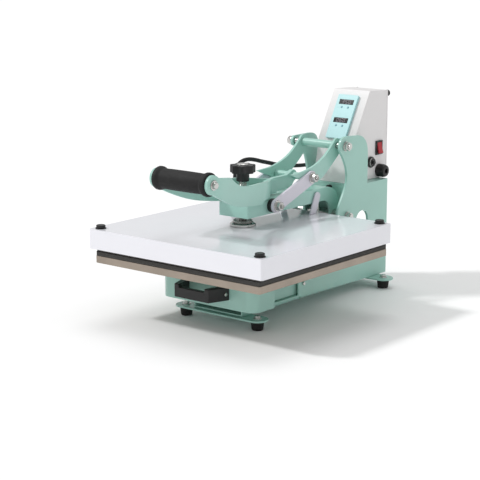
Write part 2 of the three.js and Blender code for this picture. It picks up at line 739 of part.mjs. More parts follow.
function addControlHousing() {
  const shell = cut(
    sideSlab(boxShape(0), -boxHalf, boxHalf),
    sideSlab(boxShape(boxWall), -boxHalf + boxWall, boxHalf - boxWall));
  piece('control_housing', shell, white);
  const cover = block(-boxHalf, boxHalf, boxBackY + gap, boxBackY + gap + coverThick, boxBottom, boxTopZ);
  piece('control_rear_cover', cover, white);
  const long = panelHigh - panelLow;
  const body = roundedPlan(-panelHalf, panelHalf, 0, long, 1.5);
  const parts = [];
  const displays = [['display_upper', displayUpper], ['display_lower', displayLower]];
  for (const [, y] of displays) {
    parts.push(block(
      -displayHalf - gap, displayHalf + gap, y - gap, y + displayTall + gap, panelThick - displayDeep - gap, panelThick + 1));
  }
  const buttons = [];
  for (const [row, base] of [['upper', displayUpper], ['lower', displayLower]]) {
    for (const [way, sign] of [['up', 1], ['down', -1]]) {
      const at = { x: sign * buttonSpread, y: base - buttonDrop };
      buttons.push([`button_${row}_${way}`, at]);
      parts.push(bar(buttonRadius + gap, 1, panelThick + 1, 'z', at, small));
    }
  }
  const controller = cut(planSlab(body, 0, panelThick, 3), ...parts);
  piece('controller_body', ontoFront(controller, panelLow, gap), cyan);
  for (const [name, y] of displays) {
    const glass = block(-displayHalf, displayHalf, y, y + displayTall, panelThick - displayDeep, panelThick);
    piece(name, ontoFront(glass, panelLow, gap), black);
  }
  for (const [name, at] of buttons) {
    const cap = bar(buttonRadius, 2.6, panelThick + 0.8, 'z', at, small);
    piece(name, ontoFront(cap, panelLow, gap), cyan);
  }
}

function addSideControls() {
  const face = boxHalf + gap;
  const y = switchY;
  const z = switchZ;
  const frame = cut(
    block(face, face + 3, y - 11, y + 11, z - 14, z + 14),
    block(face + 0.8, face + 4, y - 7.6, y + 7.6, z - 11.8, z + 11.8));
  piece('switch_frame', frame, black);
  const rocker = new THREE.Shape();
  rocker.moveTo(-11, 3.2);
  rocker.lineTo(0, 1);
  rocker.lineTo(11, 0.4);
  rocker.lineTo(11, 1.8);
  rocker.lineTo(0, 3.6);
  rocker.lineTo(-11, 6.8);
  const cap = new THREE.ExtrudeGeometry(rocker, { depth: 14, bevelEnabled: false });
  const place = new THREE.Matrix4().makeBasis(
    new THREE.Vector3(0, 0, 1), new THREE.Vector3(1, 0, 0), new THREE.Vector3(0, 1, 0));
  cap.applyMatrix4(place).translate(face + 1.2, y - 7, z);
  piece('switch_rocker', cap, red);
  const body = [[0, 0], [11, 0], [11, 3.5], [8.5, 4.5], [8, 7.5], [4.3, 7.5], [4.3, 1.5], [0, 1.5]];
  piece('breaker_body', turned(body, 'x', { x: face, y: breakerY, z: breakerZ }), black);
  const nub = bar(4, 4, 11, 'x', { x: face, y: breakerY, z: breakerZ }, small);
  piece('breaker_button', nub, black);
  const end = glandLong;
  const gland = [[0, 0], [13, 0], [13, end - 7], [11, end - 1], [5, end], [5, end - 7], [0, end - 7]];
  piece('mains_gland', turned(gland, 'x', { x: face, y: glandY, z: glandZ }), black);
}

// ---------------------------------------------------------------- heater cable and gas strut

// Route of the cable from the casing, over a hump, back to the far side of the housing: each place
// is X, the distance behind the platen's back edge, and Z.
const cableRoute = [
  [-90, -102.5, 184.5], [-90, -102.5, 205], [-90, -103, 225], [-90, -102.5, 240], [-89.5, -99.5, 253],
  [-89, -92.5, 262], [-88.5, -80.5, 267], [-88, -64.5, 268], [-87.8, -44.5, 264.5], [-87.5, -24.5, 259],
  [-87, -0.5, 253], [-87, 24.5, 246.5], [-87, 49.5, 241.5], [-87, 74.5, 238], [-86.5, 97.5, 235.5],
  [-84, 117.5, 234.5], [-78, 134.5, 234], [-69, 142.5, 234], [-58.5, 143.5, 234],
].map(([x, behind, z]) => [x, platenBack + behind, z]);

function addCable() {
  const route = new THREE.CatmullRomCurve3(cableRoute.map(([x, y, z]) => new THREE.Vector3(x, y, z)));
  const section = new THREE.Shape();
  const sides = 10;
  for (let i = 0; i < sides; i += 1) {
    const angle = (2 * Math.PI * i) / sides;
    const [x, y] = [cableRadius * Math.cos(angle), cableRadius * Math.sin(angle)];
    if (i === 0) section.moveTo(x, y);
    else section.lineTo(x, y);
  }
  const tube = new THREE.ExtrudeGeometry(section, { steps: 40, extrudePath: route, bevelEnabled: false });
  piece('heater_cable', tube, black);
  const [startX, startY, startZ] = cableRoute[0];
  const r = cableGlandRadius;
  const foot = casingTop + gap;
  const casingGland = [[0, foot], [r, foot], [r, foot + 8], [r - 3, startZ - gap], [0, startZ - gap]];
  piece('cable_gland_casing', turned(casingGland, 'z', { x: startX, y: startY }, small), black);
  const [endX, endY, endZ] = cableRoute[cableRoute.length - 1];
  const from = -boxHalf - gap;
  const to = endX + 2 * gap;
  const rearGland = [[0, to], [r - 3, to], [r, to + 5], [r, from], [0, from]];
  piece('cable_gland_housing', turned(rearGland, 'x', { y: endY, z: endZ }, small), black);
}

function addStrut() {
  const low = strutFoot;
  const high = strutHead;
  const bore = strutRodRadius + gap;
  const r = strutRadius;
  const at = { x: strutX, y: low.y };
  const eye = r - 1.5;
  const tube = [
    [0, low.z - eye], [eye * 0.7, low.z - eye * 0.7], [eye, low.z], [r, low.z + r],
    [r, low.z + strutLong], [bore, low.z + strutLong], [bore, low.z + 1.5 * r], [0, low.z + 1.5 * r]];
  const baseWallX = plateInner - gap - baseWall;
  const lowPin = bar(strutPinRadius, strutX, baseWallX - gap, 'x', low, small);
  piece('strut_cylinder', join(turned(tube, 'z', at, small), lowPin), black);
  const rod = [
    [0, low.z + strutLong / 2], [strutRodRadius, low.z + strutLong / 2], [strutRodRadius, high.z - eye],
    [eye, high.z], [eye * 0.7, high.z + eye * 0.7], [0, high.z + eye]];
  const highPin = bar(strutPinRadius, strutX, armHalf - armWall - gap, 'x', high, small);
  piece('strut_rod', join(turned(rod, 'z', at, small), highPin), black);
}

addBase();
addSidePlates();
addSlideRails();
addDrawer();
addLever();
addLinks();
addArm();
addUpperPlaten();
addScrew();
addControlHousing();
addSideControls();
addCable();
addStrut();

export default press;
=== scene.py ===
"""Looks for a clamshell heat press: powder-coated steel, gloss casing, foam grip, bright bolts.

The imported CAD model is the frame. Each sub-assembly below dresses its own CAD nodes with softened
copies and adds the small hardware that the frame does not carry. Lengths are in millimetres in the
classes and are turned to metres by one function.
"""
import json
import logging
import math
from dataclasses import dataclass, field
from enum import Enum

import bpy
from mathutils import Euler, Matrix, Vector

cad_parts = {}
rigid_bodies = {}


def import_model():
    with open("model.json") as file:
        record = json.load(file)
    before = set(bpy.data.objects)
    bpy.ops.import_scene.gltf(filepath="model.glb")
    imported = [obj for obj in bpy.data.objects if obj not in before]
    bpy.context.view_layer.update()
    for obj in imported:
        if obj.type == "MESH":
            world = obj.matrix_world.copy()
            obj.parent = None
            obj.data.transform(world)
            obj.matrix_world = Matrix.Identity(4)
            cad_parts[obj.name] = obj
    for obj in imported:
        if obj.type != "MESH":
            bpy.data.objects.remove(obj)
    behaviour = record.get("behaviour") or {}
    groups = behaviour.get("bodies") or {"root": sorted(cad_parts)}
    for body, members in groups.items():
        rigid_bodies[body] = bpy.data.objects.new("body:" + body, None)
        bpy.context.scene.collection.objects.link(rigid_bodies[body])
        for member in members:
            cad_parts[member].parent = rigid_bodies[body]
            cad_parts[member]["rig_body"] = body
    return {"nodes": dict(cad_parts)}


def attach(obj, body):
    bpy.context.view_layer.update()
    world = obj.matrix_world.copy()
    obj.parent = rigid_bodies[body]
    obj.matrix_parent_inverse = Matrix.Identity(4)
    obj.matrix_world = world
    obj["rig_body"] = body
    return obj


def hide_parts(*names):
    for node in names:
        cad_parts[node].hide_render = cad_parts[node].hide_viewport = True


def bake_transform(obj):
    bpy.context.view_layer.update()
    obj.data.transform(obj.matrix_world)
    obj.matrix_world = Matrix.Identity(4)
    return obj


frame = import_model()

log = logging.getLogger("heat_press")

MM = 0.001
PLATEN_Y = -105.05  # the platens' centre line in the row frame, mm
HOUSING_KNEE = (292.0, 297.0)  # y and z where the housing's front starts to lean back, mm
HOUSING_TOP = (343.5, 389.0)  # y and z where it ends, mm
SLOPE = math.atan2(HOUSING_TOP[1] - HOUSING_KNEE[1], HOUSING_TOP[0] - HOUSING_KNEE[0])
SIDES = (("right", 1, "+x"), ("left", -1, "-x"))  # name, sign of x and outward way
WAVE_STRAIGHT = 3.1416  # divides a wave texture's scale, so that bands lie about a grain apart
WAVE_DIAGONAL = 6.28  # the same for diagonal bands, which then lie about two grains apart


# ---------------------------------------------------------------- places and colours


def place(x: float, y: float, z: float) -> Vector:
    """Turns a place measured from the platens' centre into the row frame.

    Args:
        x: Millimetres to the right.
        y: Millimetres back from the platens' centre.
        z: Millimetres above the table.

    Returns:
        The place in metres.
    """
    return Vector((x * MM, (y + PLATEN_Y) * MM, z * MM))


def linear(code: str, alpha: float = 1.0) -> tuple[float, float, float, float]:
    """Turns an sRGB hex colour into linear light.

    Args:
        code: Six hex digits.
        alpha: Opacity.

    Returns:
        Linear red, green, blue and alpha.
    """
    parts = [int(code[i : i + 2], 16) / 255 for i in (0, 2, 4)]
    light = [c / 12.92 if c <= 0.04045 else ((c + 0.055) / 1.055) ** 2.4 for c in parts]
    return (light[0], light[1], light[2], alpha)


def add_node(tree: bpy.types.NodeTree, kind: str, values: dict | None = None,
             links: dict | None = None, **settings: object) -> bpy.types.Node:
    """Adds a shader node with its settings, values and links.

    Args:
        tree: The material's node tree.
        kind: The node's type.
        values: Socket values by name or number.
        links: Sockets to link from, by input name or number.
        settings: Properties of the node itself.

    Returns:
        The new node.
    """
    node = tree.nodes.new(kind)
    for key, value in settings.items():
        setattr(node, key, value)
    for key, value in (values or {}).items():
        node.inputs[key].default_value = value
    for key, socket in (links or {}).items():
        tree.links.new(socket, node.inputs[key])
    return node


# ---------------------------------------------------------------- finishes


class Grain(Enum):
    """What the surface was left like by the way it was made."""

    ORANGE_PEEL = "orange peel"
    MOULDED = "moulded"
    BRUSHED = "brushed"
    FOAM = "foam"
    WOVEN = "woven"
    THREADED = "threaded"


@dataclass(frozen=True)
class Finish:
    """A real material and how its surface was made.

    grain_mm is the real size of the surface pattern, relief_mm its depth, tone how far the colour
    wanders, and smudge how far the roughness wanders. slot would name the record's material; it is
    not used.
    """

    name: str
    colour: str
    roughness: float
    grain: Grain
    grain_mm: float
    relief_mm: float
    metallic: float = 0.0
    coat: float = 0.0
    tone: float = 0.05
    smudge: float = 0.08
    ior: float = 1.5
    slot: str = ""

    def height(self, tree: bpy.types.NodeTree, spot: bpy.types.NodeSocket) -> bpy.types.NodeSocket:
        """Builds the surface pattern.

        Args:
            tree: The material's node tree.
            spot: Object coordinates.

        Returns:
            The pattern's height, from 0 to 1.
        """
        scale = 1 / (self.grain_mm * MM)
        if self.grain is Grain.BRUSHED:
            stretch = add_node(tree, "ShaderNodeMapping", {"Scale": (0.04, 1.0, 1.0)},
                               {"Vector": spot})
            return add_node(tree, "ShaderNodeTexNoise", {"Scale": scale, "Detail": 3.0},
                            {"Vector": stretch.outputs[0]}).outputs["Fac"]
        if self.grain is Grain.FOAM:
            return add_node(tree, "ShaderNodeTexVoronoi", {"Scale": scale},
                            {"Vector": spot}).outputs["Distance"]
        if self.grain is Grain.WOVEN:
            wave = {"Scale": scale / WAVE_DIAGONAL, "Distortion": 0.4}
            one = add_node(tree, "ShaderNodeTexWave", wave, {"Vector": spot},
                           bands_direction="DIAGONAL")
            turn = add_node(tree, "ShaderNodeMapping", {"Rotation": (0.0, 0.0, math.radians(90))},
                            {"Vector": spot})
            two = add_node(tree, "ShaderNodeTexWave", wave, {"Vector": turn.outputs[0]},
                           bands_direction="DIAGONAL")
            return add_node(tree, "ShaderNodeMath", {},
                            {0: one.outputs["Fac"], 1: two.outputs["Fac"]},
                            operation="MULTIPLY").outputs[0]
        if self.grain is Grain.THREADED:
            return add_node(tree, "ShaderNodeTexWave", {"Scale": scale / WAVE_STRAIGHT},
                            {"Vector": spot}, bands_direction="Z").outputs["Fac"]
        return add_node(tree, "ShaderNodeTexNoise", {"Scale": scale, "Detail": 2.0},
                        {"Vector": spot}).outputs["Fac"]

    def material(self) -> bpy.types.Material:
        """Builds the material once and hands it out afterwards.

        Returns:
            The material.
        """
        made = bpy.data.materials.get(self.name)
        if made is not None:
            return made
        made = bpy.data.materials.new(self.name)
        made.use_nodes = True
        tree = made.node_tree
        shader = tree.nodes["Principled BSDF"]
        spot = add_node(tree, "ShaderNodeTexCoord").outputs["Object"]
        # Handling and uneven spraying show as slow changes over about 60 mm.
        cloud = add_node(tree, "ShaderNodeTexNoise", {"Scale": 16.0, "Detail": 3.0},
                         {"Vector": spot})
        # Fine scuffs, drawn 4 mm long so that they show.
        slant = add_node(tree, "ShaderNodeMapping",
                         {"Rotation": (0.5, 0.3, 0.7), "Scale": (1.0, 9.0, 3.0)}, {"Vector": spot})
        scuff = add_node(tree, "ShaderNodeTexNoise", {"Scale": 90.0, "Detail": 4.0},
                         {"Vector": slant.outputs[0]})
        mix = add_node(tree, "ShaderNodeMapRange",
                       {"From Min": 0.3, "From Max": 0.7, "To Min": 1 - self.tone, "To Max": 1.0},
                       {"Value": cloud.outputs["Fac"]})
        colour = add_node(tree, "ShaderNodeMix", {6: linear(self.colour), 0: 1.0},
                          {7: mix.outputs[0]}, data_type="RGBA", blend_type="MULTIPLY")
        tree.links.new(colour.outputs[2], shader.inputs["Base Color"])
        blend = add_node(tree, "ShaderNodeMath", {},
                         {0: scuff.outputs["Fac"], 1: cloud.outputs["Fac"]}, operation="MULTIPLY")
        rough = add_node(tree, "ShaderNodeMapRange",
                         {"From Min": 0.1, "From Max": 0.45,
                          "To Min": max(0.02, self.roughness - self.smudge),
                          "To Max": min(1.0, self.roughness + self.smudge)},
                         {"Value": blend.outputs[0]})
        tree.links.new(rough.outputs[0], shader.inputs["Roughness"])
        bump = add_node(tree, "ShaderNodeBump", {"Strength": 1.0, "Distance": self.relief_mm * MM},
                        {"Height": self.height(tree, spot)})
        tree.links.new(bump.outputs[0], shader.inputs["Normal"])
        shader.inputs["Metallic"].default_value = self.metallic
        if self.metallic < 0.5:
            shader.inputs["IOR"].default_value = self.ior
        shader.inputs["Coat Weight"].default_value = self.coat
        shader.inputs["Coat Roughness"].default_value = 0.12
        return made


# Polyester powder coat, sprayed and baked: a soft sheen with faint orange peel.
MINT_COAT = Finish("mint powder coat", "A2D0C4", 0.36, Grain.ORANGE_PEEL, 1.6, 0.03, coat=0.25)
# The same coat in gloss white, which mirrors the parts above it softly.
WHITE_COAT = Finish("white gloss powder coat", "EEEEF4", 0.16, Grain.ORANGE_PEEL, 2.2, 0.012,
                    coat=0.5, tone=0.015, smudge=0.05)
# The same coat in satin white on the folded housing.
HOUSING_COAT = Finish("white satin powder coat", "E6E4E4", 0.4, Grain.ORANGE_PEEL, 1.4, 0.03,
                      tone=0.02)
# Pale grey coat on the laser-cut links.
LINK_COAT = Finish("pale grey powder coat", "D6D4DE", 0.35, Grain.ORANGE_PEEL, 1.4, 0.025, coat=0.2)
# Zinc-plated steel, bright and slightly cloudy.
ZINC = Finish("bright zinc-plated steel", "C9C9C6", 0.24, Grain.BRUSHED, 0.6, 0.01, metallic=1.0,
              slot="zinc_steel")
# The lead screw: turned steel with a 2 mm pitch.
SCREW_STEEL = Finish("turned lead screw steel", "B9B9B5", 0.28, Grain.THREADED, 2.0, 0.5,
                     metallic=1.0, slot="zinc_steel")
# Cast aluminium plate, milled on its edges, which leaves long fine lines.
PLATE_ALUMINIUM = Finish("milled aluminium plate", "A99D91", 0.38, Grain.BRUSHED, 1.2, 0.04,
                         metallic=1.0, tone=0.22)
# The heating plate, cast aluminium under a dark non-stick coat.
HEATER_COAT = Finish("dark non-stick coat", "4A4643", 0.5, Grain.MOULDED, 1.0, 0.02, tone=0.2)
# Silicone sponge sheet, matt.
SILICONE = Finish("silicone sponge sheet", "43413F", 0.85, Grain.FOAM, 1.2, 0.08, tone=0.15)
# Glass-filled nylon, moulded with a spark texture.
NYLON = Finish("moulded black nylon", "0B0B0C", 0.42, Grain.MOULDED, 0.7, 0.04, tone=0.2,
               slot="black_plastic")
# Nitrile foam sleeve, closed cells.
FOAM = Finish("nitrile foam", "0A0A0B", 0.72, Grain.FOAM, 0.9, 0.12, tone=0.25)
# Moulded rubber.
RUBBER = Finish("moulded rubber", "0A0A0A", 0.7, Grain.MOULDED, 1.0, 0.05, tone=0.2,
                slot="foot_rubber")
# Braided polyester sleeve over the heater leads.
SLEEVE = Finish("braided polyester sleeve", "101012", 0.65, Grain.WOVEN, 1.6, 0.2, tone=0.25)
# Polycarbonate overlay film.
OVERLAY = Finish("polycarbonate overlay film", "AFDDE0", 0.34, Grain.MOULDED, 0.5, 0.01, tone=0.03)
KEY_FILM = Finish("embossed key film", "6FA9B8", 0.34, Grain.MOULDED, 0.5, 0.01, tone=0.04)
# Smoked acrylic window.
WINDOW = Finish("smoked acrylic", "080B0E", 0.12, Grain.MOULDED, 2.0, 0.003, tone=0.1, coat=0.4)
DIGIT = Finish("lit digit segments", "8F8A92", 0.5, Grain.MOULDED, 0.8, 0.005, tone=0.02,
               slot="display_window")
# Polished red nylon rocker.
ROCKER_RED = Finish("gloss red nylon", "B00E22", 0.2, Grain.MOULDED, 1.0, 0.01, coat=0.3, tone=0.06)
# Black enamel on the gas strut.
STRUT_ENAMEL = Finish("black enamel", "0C0C0D", 0.3, Grain.ORANGE_PEEL, 1.2, 0.01, coat=0.2)
# Pressed ceramic fibre.
FIBRE = Finish("pressed ceramic fibre", "D8D0BC", 0.95, Grain.FOAM, 1.6, 0.2, tone=0.1)
# Self-adhesive vinyl label, blank.
VINYL = Finish("yellow vinyl", "E8CE3A", 0.35, Grain.MOULDED, 1.0, 0.005, tone=0.03,
               slot="panel_plastic")
# Seamless paper under the press.
PAPER = Finish("pale seamless paper", "FBFBFB", 0.9, Grain.MOULDED, 2.0, 0.01, tone=0.005,
               smudge=0.02)


# ---------------------------------------------------------------- modelling


def take(*objects: bpy.types.Object) -> None:
    """Selects these objects alone, the last one active."""
    bpy.ops.object.select_all(action="DESELECT")
    for obj in objects:
        obj.select_set(True)
    bpy.context.view_layer.objects.active = objects[-1]


def finished(obj: bpy.types.Object, name: str, finish: Finish, body: str) -> bpy.types.Object:
    """Applies a new piece's place, names it, dresses it and ties it to its body.

    Args:
        obj: The modelled piece.
        name: Its name.
        finish: Its finish.
        body: The CAD body it moves with.

    Returns:
        The piece.
    """
    take(obj)
    bpy.ops.object.transform_apply(location=True, rotation=True, scale=True)
    bpy.ops.object.shade_smooth_by_angle(angle=math.radians(32))
    obj.name = name
    obj.data.name = name
    obj.data.materials.clear()
    obj.data.materials.append(finish.material())
    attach(obj, body)
    return obj


def soften(obj: bpy.types.Object, edge_mm: float, segments: int = 2, angle: float = 28) -> None:
    """Rounds a piece's sharp edges and applies the modifier.

    Args:
        obj: The piece.
        edge_mm: Radius of the edges.
        segments: Steps in each rounded edge.
        angle: Edges sharper than this, in degrees, are rounded.
    """
    take(obj)
    bevel = obj.modifiers.new("edges", "BEVEL")
    bevel.width = edge_mm * MM
    bevel.segments = segments
    bevel.limit_method = "ANGLE"
    bevel.angle_limit = math.radians(angle)
    bevel.miter_outer = "MITER_ARC"
    bevel.use_clamp_overlap = True
    bpy.ops.object.modifier_apply(modifier=bevel.name)


@dataclass(frozen=True)
class Skin:
    """A softened copy that stands for one CAD node: its finish and its edge radius. padded is not
    used.
    """

    node: str
    finish: Finish
    edge_mm: float = 0.5
    segments: int = 2
    smooth: float = 32
    padded: bool = False

    def dress(self) -> bpy.types.Object:
        """Copies the node, joins its triangles, rounds its edges and puts the copy in its place.

        Returns:
            The copy.
        """
        source = frame["nodes"][self.node]
        copy = bpy.data.objects.new(f"{self.node}_skin", source.data.copy())
        bpy.context.scene.collection.objects.link(copy)
        take(copy)
        bpy.ops.object.mode_set(mode="EDIT")
        bpy.ops.mesh.select_all(action="SELECT")
        bpy.ops.mesh.remove_doubles(threshold=0.00002)
        bpy.ops.mesh.dissolve_limited(angle_limit=math.radians(0.6))
        bpy.ops.object.mode_set(mode="OBJECT")
        if self.edge_mm > 0:
            soften(copy, self.edge_mm, self.segments)
        take(copy)
        bpy.ops.object.shade_smooth_by_angle(angle=math.radians(self.smooth))
        # Large flat faces keep their own direction; only the rounded edges turn.
        level = copy.modifiers.new("level", "WEIGHTED_NORMAL")
        level.keep_sharp = True
        level.weight = 100
        bpy.ops.object.modifier_apply(modifier=level.name)
        copy.data.materials.clear()
        copy.data.materials.append(self.finish.material())
        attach(copy, source["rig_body"])
        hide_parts(self.node)
        return copy


@dataclass
class SubAssembly:
    """One sub-assembly of the press: the nodes it dresses and the small pieces it adds."""

    title: str = "sub-assembly"
    skins: tuple[Skin, ...] = ()
    pieces: list[bpy.types.Object] = field(default_factory=list)

    def dress_nodes(self) -> None:
        """Puts a softened copy in the place of each CAD node."""
        for skin in self.skins:
            self.pieces.append(skin.dress())

    def add_hardware(self) -> None:
        """Adds the small pieces. A sub-assembly without any leaves this as it is."""

    def build(self) -> None:
        """Builds the whole sub-assembly and reports it."""
        self.dress_nodes()
        self.add_hardware()
        for piece in self.pieces:
            log.info("%s: %s, %d faces", self.title, piece.name, len(piece.data.polygons))


AXES = {
    "+x": Euler((0, math.radians(90), 0)),
    "-x": Euler((0, math.radians(-90), 0)),
    "+y": Euler((math.radians(-90), 0, 0)),
    "-y": Euler((math.radians(90), 0, 0)),
    "+z": Euler((0, 0, 0)),
}


def select_faces_at(obj: bpy.types.Object, height: float) -> None:
    """Selects, in edit mode, the flat faces that lie at one height of the piece's own Z."""
    bpy.ops.mesh.select_all(action="DESELECT")
    bpy.ops.object.mode_set(mode="OBJECT")
    for polygon in obj.data.polygons:
        polygon.select = abs(polygon.center.z - height) < 1e-5 and polygon.normal.z > 0.9
    bpy.ops.object.mode_set(mode="EDIT")
    bpy.ops.mesh.select_mode(type="FACE")


@dataclass(frozen=True)
class Bolt:
    """A hex or round bolt head on a washer, standing along Z from its seat.

    across and tall size the head, washer is the washer's radius, socket the width of the hollow in
    the top, all in millimetres. rim and dome are the width and rise of the drawn-in top, as shares
    of the head's radius.
    """

    across: float = 13.0
    tall: float = 5.0
    washer: float = 9.0
    washer_thick: float = 1.5
    sides: int = 6
    socket: float = 0.0
    finish: Finish = ZINC
    rim: float = 0.16
    dome: float = 0.1

    def make(self, name: str, at: Vector, facing: str, body: str) -> bpy.types.Object:
        """Models the head: a drum, its top drawn in, a hollow if it has one, and a washer.

        Args:
            name: The piece's name.
            at: The middle of its seat.
            facing: The way it stands, a key of AXES.
            body: The body that carries it.

        Returns:
            The bolt.
        """
        seat = self.washer_thick * MM if self.washer else 0.0
        high = seat + self.tall * MM
        radius = self.across * MM / 2
        bpy.ops.object.select_all(action="DESELECT")
        bpy.ops.mesh.primitive_cylinder_add(
            vertices=self.sides, radius=radius, depth=self.tall * MM,
            location=(0, 0, seat + self.tall * MM / 2))
        head = bpy.context.object
        bpy.ops.object.transform_apply(location=True, rotation=True, scale=True)
        bpy.ops.object.mode_set(mode="EDIT")
        select_faces_at(head, high)
        bpy.ops.mesh.inset(thickness=radius * self.rim, depth=radius * self.dome)
        if self.socket:
            bpy.ops.mesh.inset(thickness=radius * (1 - self.rim) - self.socket * MM / 2)
            bpy.ops.mesh.inset(thickness=radius * 0.04, depth=-self.tall * MM * 0.5)
        bpy.ops.object.mode_set(mode="OBJECT")
        soften(head, 0.35, 2, 40)
        parts = [head]
        if self.washer:
            bpy.ops.object.select_all(action="DESELECT")
            bpy.ops.mesh.primitive_cylinder_add(
                vertices=36, radius=self.washer * MM, depth=self.washer_thick * MM,
                location=(0, 0, self.washer_thick * MM / 2))
            ring = bpy.context.object
            bpy.ops.object.transform_apply(location=True, rotation=True, scale=True)
            bpy.ops.object.mode_set(mode="EDIT")
            select_faces_at(ring, seat)
            bpy.ops.mesh.inset(thickness=self.washer * MM * 0.12, depth=0.0002)
            bpy.ops.object.mode_set(mode="OBJECT")
            soften(ring, 0.25, 2, 50)
            parts.append(ring)
        take(*parts[1:], head)
        if len(parts) > 1:
            bpy.ops.object.join()
        head.rotation_euler = AXES[facing]
        head.location = at
        return finished(head, name, self.finish, body)


def slab(name: str, size: tuple[float, float, float], at: Vector, finish: Finish, body: str,
         edge_mm: float = 0.3, turn: Matrix | None = None) -> bpy.types.Object:
    """Models a thin plate with a raised, drawn-in face.

    Args:
        name: The piece's name.
        size: Width, length and thickness in millimetres.
        at: Its centre, in metres.
        finish: Its finish.
        body: The body that carries it.
        edge_mm: Radius of its edges.
        turn: A turn about its centre, if it does not lie flat.

    Returns:
        The plate.
    """
    bpy.ops.object.select_all(action="DESELECT")
    bpy.ops.mesh.primitive_cube_add(size=1)
    plate = bpy.context.object
    plate.scale = [s * MM for s in size]
    bpy.ops.object.transform_apply(location=True, rotation=True, scale=True)
    bpy.ops.object.mode_set(mode="EDIT")
    select_faces_at(plate, size[2] * MM / 2)
    bpy.ops.mesh.inset(thickness=min(size[:2]) * MM * 0.08)
    bpy.ops.transform.translate(value=(0, 0, size[2] * MM * 0.08))
    bpy.ops.object.mode_set(mode="OBJECT")
    soften(plate, edge_mm, 2, 40)
    if turn is not None:
        plate.rotation_euler = turn.to_euler()
    plate.location = at
    return finished(plate, name, finish, body)


# ---------------------------------------------------------------- camera, light and floor


@dataclass
class Studio:
    """The camera, a white room with two distant lamps, and a pale floor."""

    eye: tuple[float, float, float] = (1668.1, -2059.9, 717.8)
    target: tuple[float, float, float] = (0.0, 0.0, 120.0)
    lens: float = 110.75
    shift: tuple[float, float] = (-0.0057, 0.0251)
    room: float = 0.62
    floor_size: float = 60.0

    def aim(self, obj: bpy.types.Object, spot: Vector) -> None:
        """Turns a camera or light to look at a place."""
        obj.rotation_euler = (spot - obj.location).to_track_quat("-Z", "Y").to_euler()

    def add_camera(self) -> None:
        """Sets up the camera."""
        data = bpy.data.cameras.new("camera")
        data.lens = self.lens
        data.sensor_width = 36.0
        data.shift_x, data.shift_y = self.shift
        data.clip_end = 200.0
        camera = bpy.data.objects.new("camera", data)
        bpy.context.scene.collection.objects.link(camera)
        camera.location = place(*self.eye)
        self.aim(camera, place(*self.target))
        bpy.context.scene.camera = camera

    def add_light(self, name: str, spot: tuple[float, float, float], spread: float,
                  strength: float) -> None:
        """Adds one distant lamp, which lights the whole floor alike.

        Args:
            name: The light's name.
            spot: The place it shines from.
            spread: Its width in degrees, which softens the shadows.
            strength: Its strength in watts per square metre.
        """
        data = bpy.data.lights.new(name, "SUN")
        data.angle = math.radians(spread)
        data.energy = strength
        light = bpy.data.objects.new(name, data)
        bpy.context.scene.collection.objects.link(light)
        light.location = spot
        self.aim(light, Vector((0, 0, 0.15)))

    def add_floor(self) -> None:
        """Lays the floor."""
        bpy.ops.object.select_all(action="DESELECT")
        bpy.ops.mesh.primitive_plane_add(size=self.floor_size, location=(0, 0, -0.0004))
        floor = bpy.context.object
        floor.name = "floor"
        floor.data.materials.append(PAPER.material())

    def build(self) -> None:
        """Sets up the whole studio."""
        self.add_camera()
        world = bpy.data.worlds.new("white room")
        world.use_nodes = True
        world.node_tree.nodes["Background"].inputs["Color"].default_value = (1.0, 1.0, 1.0, 1.0)
        world.node_tree.nodes["Background"].inputs["Strength"].default_value = self.room
        bpy.context.scene.world = world
        # Paint colours and the white room come out as measured, without a film curve.
        bpy.context.scene.view_settings.view_transform = "Standard"
        self.add_light("key", (-1.5, -1.3, 2.3), 7.0, 1.35)
        self.add_light("top", (-0.5, 0.7, 2.4), 30.0, 0.55)
        self.add_floor()


# ---------------------------------------------------------------- cable


